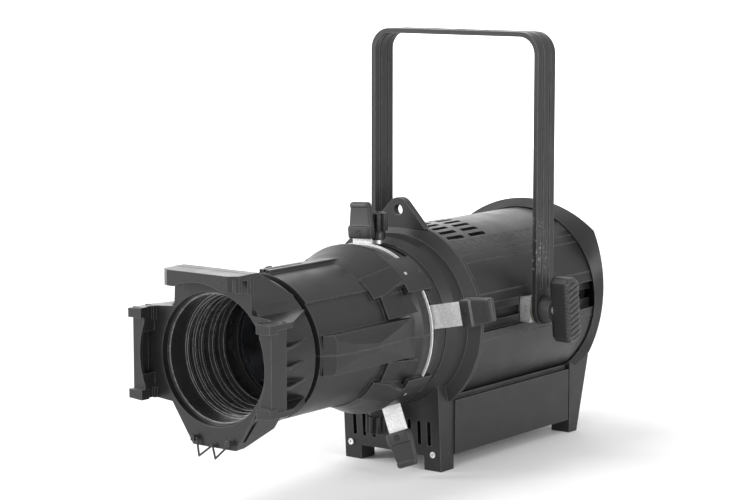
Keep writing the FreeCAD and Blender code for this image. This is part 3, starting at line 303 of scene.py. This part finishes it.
# ---------- detailed pieces ----------
def skin(name, rings, material, body, nodes=(), angle=40.0):
    """Closed piece through rings of points, in millimetres about the lens axis."""
    mesh = bpy.data.meshes.new(name)
    build = bmesh.new()
    loops = [[build.verts.new((x * MM, y * MM + AXIS_SHIFT, z * MM + AXIS_Z)) for x, y, z in points]
             for points in rings]
    count = len(loops[0])
    for lower, upper in zip(loops[:-1], loops[1:]):
        for k in range(count):
            build.faces.new((lower[k], lower[(k + 1) % count], upper[(k + 1) % count], upper[k]))
    build.faces.new(loops[0][::-1])
    build.faces.new(loops[-1])
    bmesh.ops.recalc_face_normals(build, faces=build.faces)
    build.to_mesh(mesh)
    build.free()
    for polygon in mesh.polygons:
        polygon.use_smooth = True
    mesh.set_sharp_from_angle(angle=radians(angle))
    mesh.materials.append(material)
    piece = bpy.data.objects.new(name, mesh)
    bpy.context.collection.objects.link(piece)
    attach(piece, body)
    if nodes:
        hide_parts(*nodes)
    return piece


def squared(angle, power):
    """Point of a superellipse with unit half sizes; a higher power has sharper corners."""
    c, s = cos(angle), sin(angle)
    size = (abs(c) ** power + abs(s) ** power) ** (-1.0 / power)
    return c * size, s * size


def between(stops, place):
    """Values interpolated at a place along rows of (place, value, value, ...)."""
    for low, high in zip(stops[:-1], stops[1:]):
        if place <= high[0]:
            t = (place - low[0]) / (high[0] - low[0])
            return [a + t * (b - a) for a, b in zip(low[1:], high[1:])]
    return list(stops[-1][1:])


def groove(place, pitch, width):
    """1 in the middle of a groove, 0 between grooves, repeated at the pitch."""
    offset = abs((place / pitch) % 1.0 - 0.5) * pitch
    return max(0.0, 1.0 - (offset / width) ** 2)


def lever_grip(side):
    """Wing grip with chamfered ends, slanted grooves outside and a scalloped corner."""
    # height, then the edges in y and the inner and outer faces in x
    stops = [(LEVER_LOW, 8.0, 18.0, 128.5, 145.5), (-36.3, 5.5, 20.0, 127.2, 148.0),
             (-30.5, 0.5, 24.6, 126.6, 150.5), (-29.0, 0.0, 25.2, 126.5, 150.8),
             (29.0, -6.6, 19.6, 126.5, 150.8), (31.5, -6.6, 19.2, 126.6, 150.4),
             (36.6, -2.4, 14.2, 127.4, 147.6), (LEVER_HIGH, -0.4, 12.0, 128.6, 145.6)]
    rings = []
    for step in range(LEVER_STEPS + 1):
        z = LEVER_LOW + (LEVER_HIGH - LEVER_LOW) * step / LEVER_STEPS
        y0, y1, x0, x1 = between(stops, z)
        ring = []
        for k in range(OUTLINE_POINTS):
            u, v = squared(2 * pi * k / OUTLINE_POINTS, 9.0)
            x = (x0 + x1) / 2 + u * (x1 - x0) / 2
            y = (y0 + y1) / 2 + v * (y1 - y0) / 2
            depth = 0.0
            if abs(z) < 33.0 and u > 0.9 and v > -0.75:
                depth = 2.0 * groove(z - 0.35 * y, 6.6, 1.5)
            corner = max(0.0, 1.0 - abs(u - 1.0) / 0.25) * max(0.0, 1.0 - abs(v + 1.0) / 0.35)
            pinch = 2.4 * corner * groove(z, 4.2, 1.4) if abs(z) < 31.0 else 0.0
            ring.append((side * (x - depth - pinch), PIVOT_Y + y + pinch, PIVOT_Z + z))
        rings.append(ring)
    return rings


def turned_rings(profile, place, count=64):
    """Rings of a turned piece; profile rows are (height, radius, lobes, depth)."""
    rings = []
    for height, radius, lobes, depth in profile:
        ring = []
        for k in range(count):
            angle = 2 * pi * k / count
            cut = (0.5 - 0.5 * cos(lobes * angle)) ** 2 if lobes else 0.0
            r = radius - depth * cut
            ring.append(place(height, r * cos(angle), r * sin(angle)))
        rings.append(ring)
    return rings


def handle_rings(angle, start, middle_y):
    """Stepped shutter grip with a lip at its outer end."""
    # distance out, half width, front and back of the section
    stops = [(0.0, 14.0, -5.4, 2.4), (0.5, 15.0, -6.2, 3.2), (1.4, 15.5, -6.5, 3.5),
             (9.0, 16.0, -6.5, 3.5), (12.6, 15.6, -6.4, 3.5), (14.0, 15.4, -3.9, 3.5),
             (15.2, 15.2, -3.7, 3.5), (33.6, 13.1, -3.3, 3.3), (34.4, 13.0, -4.7, 3.4),
             (36.8, 12.7, -5.0, 3.4), (38.6, 12.2, -4.4, 3.0), (39.6, 11.2, -3.2, 2.2),
             (40.0, 10.0, -2.2, 1.4)]
    c, s = cos(radians(angle)), sin(radians(angle))
    rings = []
    for place, half, front, back in stops:
        ring = []
        for k in range(OUTLINE_POINTS):
            u, v = squared(2 * pi * k / OUTLINE_POINTS, 7.0)
            radial, across = start + place, half * u
            y = middle_y + (front + back) / 2 + v * (back - front) / 2
            ring.append((radial * c - across * s, y, radial * s + across * c))
        rings.append(ring)
    return rings


def handle_screw(angle, start, middle_y):
    """Screw head with its collar and socket on the front of a shutter grip."""
    c, s = cos(radians(angle)), sin(radians(angle))
    radial = start + 6.5

    def place(height, a, b):
        return ((radial + a) * c - b * s, middle_y - 6.5 - height, (radial + a) * s + b * c)

    profile = [(-1.0, 3.5), (0.3, 3.5), (0.5, 3.3), (0.5, 3.0), (0.04, 2.8), (0.04, 2.6), (0.4, 2.4),
               (0.46, 1.3), (0.08, 1.1), (0.06, 0.1)]
    return turned_rings([(h, r, 0, 0.0) for h, r in profile], place, 48)


def star_knob(side):
    """Star knob, collar and stud of one of the two barrel locks."""
    profile = [(79.0, 3.0, 0, 0.0), (94.0, 3.0, 0, 0.0), (94.0, 8.6, 0, 0.0), (94.6, 9.5, 0, 0.0),
               (102.4, 9.5, 0, 0.0), (103.0, 9.0, 0, 0.0), (103.2, 10.0, 8, 2.0), (104.0, 12.0, 8, 4.0),
               (105.0, 12.3, 8, 4.2), (121.6, 12.3, 8, 4.2), (123.0, 11.8, 8, 4.0), (123.8, 10.6, 8, 3.0),
               (124.0, 8.4, 8, 1.2), (123.6, 6.4, 0, 0.0), (121.8, 5.6, 0, 0.0), (121.5, 0.4, 0, 0.0)]
    return turned_rings(profile, lambda h, a, b: (a, KNOB_Y + b, side * h), 128)


def focus_grip():
    """Knurled focus knob on its stud."""
    c, s = cos(radians(FOCUS_ANGLE)), sin(radians(FOCUS_ANGLE))
    profile = [(65.0, 3.0, 0, 0.0), (84.5, 3.0, 0, 0.0), (84.5, 9.6, 0, 0.0), (85.2, 10.6, 10, 0.8),
               (86.2, 11.0, 10, 1.2), (96.0, 11.0, 10, 1.2), (97.2, 10.6, 10, 0.9), (97.9, 9.4, 10, 0.3),
               (98.0, 7.0, 0, 0.0), (97.4, 6.4, 0, 0.0), (97.2, 0.4, 0, 0.0)]
    return turned_rings(profile, lambda h, a, b: (h * c - b * s, FOCUS_Y + a, h * s + b * c), 160)


def add_pieces():
    grip = FINISH["grip_rubber"]
    for name, side in (("right", 1), ("left", -1)):
        body = "lever_" + name
        skin("lever_grip_" + name, lever_grip(side), grip, body, ["clamp_lever_" + name])
        hub = [(117.0, 5.1), (117.0, 14.6), (117.6, 15.5), (122.0, 15.5), (129.0, 12.4), (129.4, 11.0),
               (129.4, 5.1)]
        rings = turned_rings([(h, r, 0, 0.0) for h, r in hub],
                             lambda h, a, b, side=side: (side * h, PIVOT_Y + a, PIVOT_Z + b), 96)
        skin("lever_hub_" + name, rings, grip, body, angle=30.0)
    for name, angle, start, middle_y in SHUTTERS:
        body = "shutter_" + name
        skin("grip_" + name, handle_rings(angle, start, middle_y), grip, body,
             ["shutter_handle_" + name])
        screw = handle_screw(angle, start, middle_y)
        skin("grip_screw_" + name, screw, FINISH["screw_dark"], body)
    for name, side in (("top", 1), ("bottom", -1)):
        body = "lock_knob_" + name
        skin("star_" + name, star_knob(side), FINISH["plastic_black"], body, [body])
        washer = [(89.2, 3.0), (89.2, 6.2), (89.5, 6.5), (93.7, 6.5), (94.0, 6.2), (94.0, 3.0)]
        rings = turned_rings([(h, r, 0, 0.0) for h, r in washer],
                             lambda h, a, b, side=side: (a, KNOB_Y + b, side * h))
        skin("star_washer_" + name, rings, FINISH["steel_parts"], body)
    skin("focus_grip", focus_grip(), grip, "focus_knob", ["focus_knob"])


add_camera()
add_floor()
add_lights()

FINISH = {
    "cast_black": black_paint("cast_black_paint", 0.017, 0.4, 1500.0, 0.0007, 0.7),
    "extrusion_black": black_paint("extrusion_anodised", 0.014, 0.36, 2200.0, 0.0004, 0.6),
    "sheet_black": black_paint("sheet_powder_coat", 0.016, 0.43, 1200.0, 0.0004, 0.6),
    "plastic_black": black_paint("plastic_moulded", 0.015, 0.33, 2600.0, 0.0006, 0.5),
    "grip_rubber": black_paint("grip_moulded", 0.021, 0.4, 2000.0, 0.0005, 0.6, shine=0.5),
    "stainless": brushed_steel("stainless_scribbled", 0.86, 0.4, 0.55),
    "steel_parts": speckled("steel_plated", (0.62, 0.62, 0.63), (0.78, 0.78, 0.79), 0.3, 900.0, 0.85, 0.1),
    "bare_aluminium": speckled("aluminium_cast", (0.62, 0.62, 0.63), (0.78, 0.78, 0.79), 0.38, 700.0,
                               0.7, 0.15),
    "lens_glass": lens_glass("glass_coated"),
    "emitter_yellow": speckled("emitter_phosphor", (0.75, 0.6, 0.12), (0.88, 0.72, 0.2), 0.5, 1800.0),
    "board_white": speckled("board_enamel", (0.72, 0.72, 0.7), (0.8, 0.8, 0.78), 0.4, 1200.0),
    "display_dark": speckled("display_window", (0.01, 0.012, 0.014), (0.016, 0.019, 0.022), 0.12, 500.0,
                             0.0, 0.02),
    "friction_fibre": speckled("friction_fibre", (0.1, 0.09, 0.08), (0.17, 0.15, 0.13), 0.8, 1600.0),
    "screw_dark": speckled("screw_blackened", (0.02, 0.02, 0.021), (0.035, 0.035, 0.036), 0.3, 1500.0,
                           0.3, 0.1),
}
YOKE_CHIPS = (0.1165, 0.118, 0.245)      # on the front edge of the right arm, in metres
YOKE_FINISH = black_paint("yoke_powder_coat", 0.017, 0.4, 1200.0, 0.0004, 0.7, YOKE_CHIPS)
# painted highlight: the tube's rims are lightened to a light grey at full strength, standing for the lit
# rims of its baffles
TUBE_FINISH = black_paint("tube_black_painted_rim_highlight", 0.03, 0.25, 1500.0, 0.0005, 1.0, edge_bare_and_highlight_grey=0.55, shine=0.7)


def paint_node(name, material):
    node = frame["nodes"][name]
    if not node.data.materials:
        node.data.materials.append(material)
    for place in node.material_slots:
        place.material = material


for part in frame["record"]["subparts"]:
    paint_node(part["node"], FINISH[part["material_slot"]])
paint_node("yoke_strap", YOKE_FINISH)
paint_node("lens_tube", TUBE_FINISH)
paint_node("frame_clip", FINISH["screw_dark"])
add_pieces()
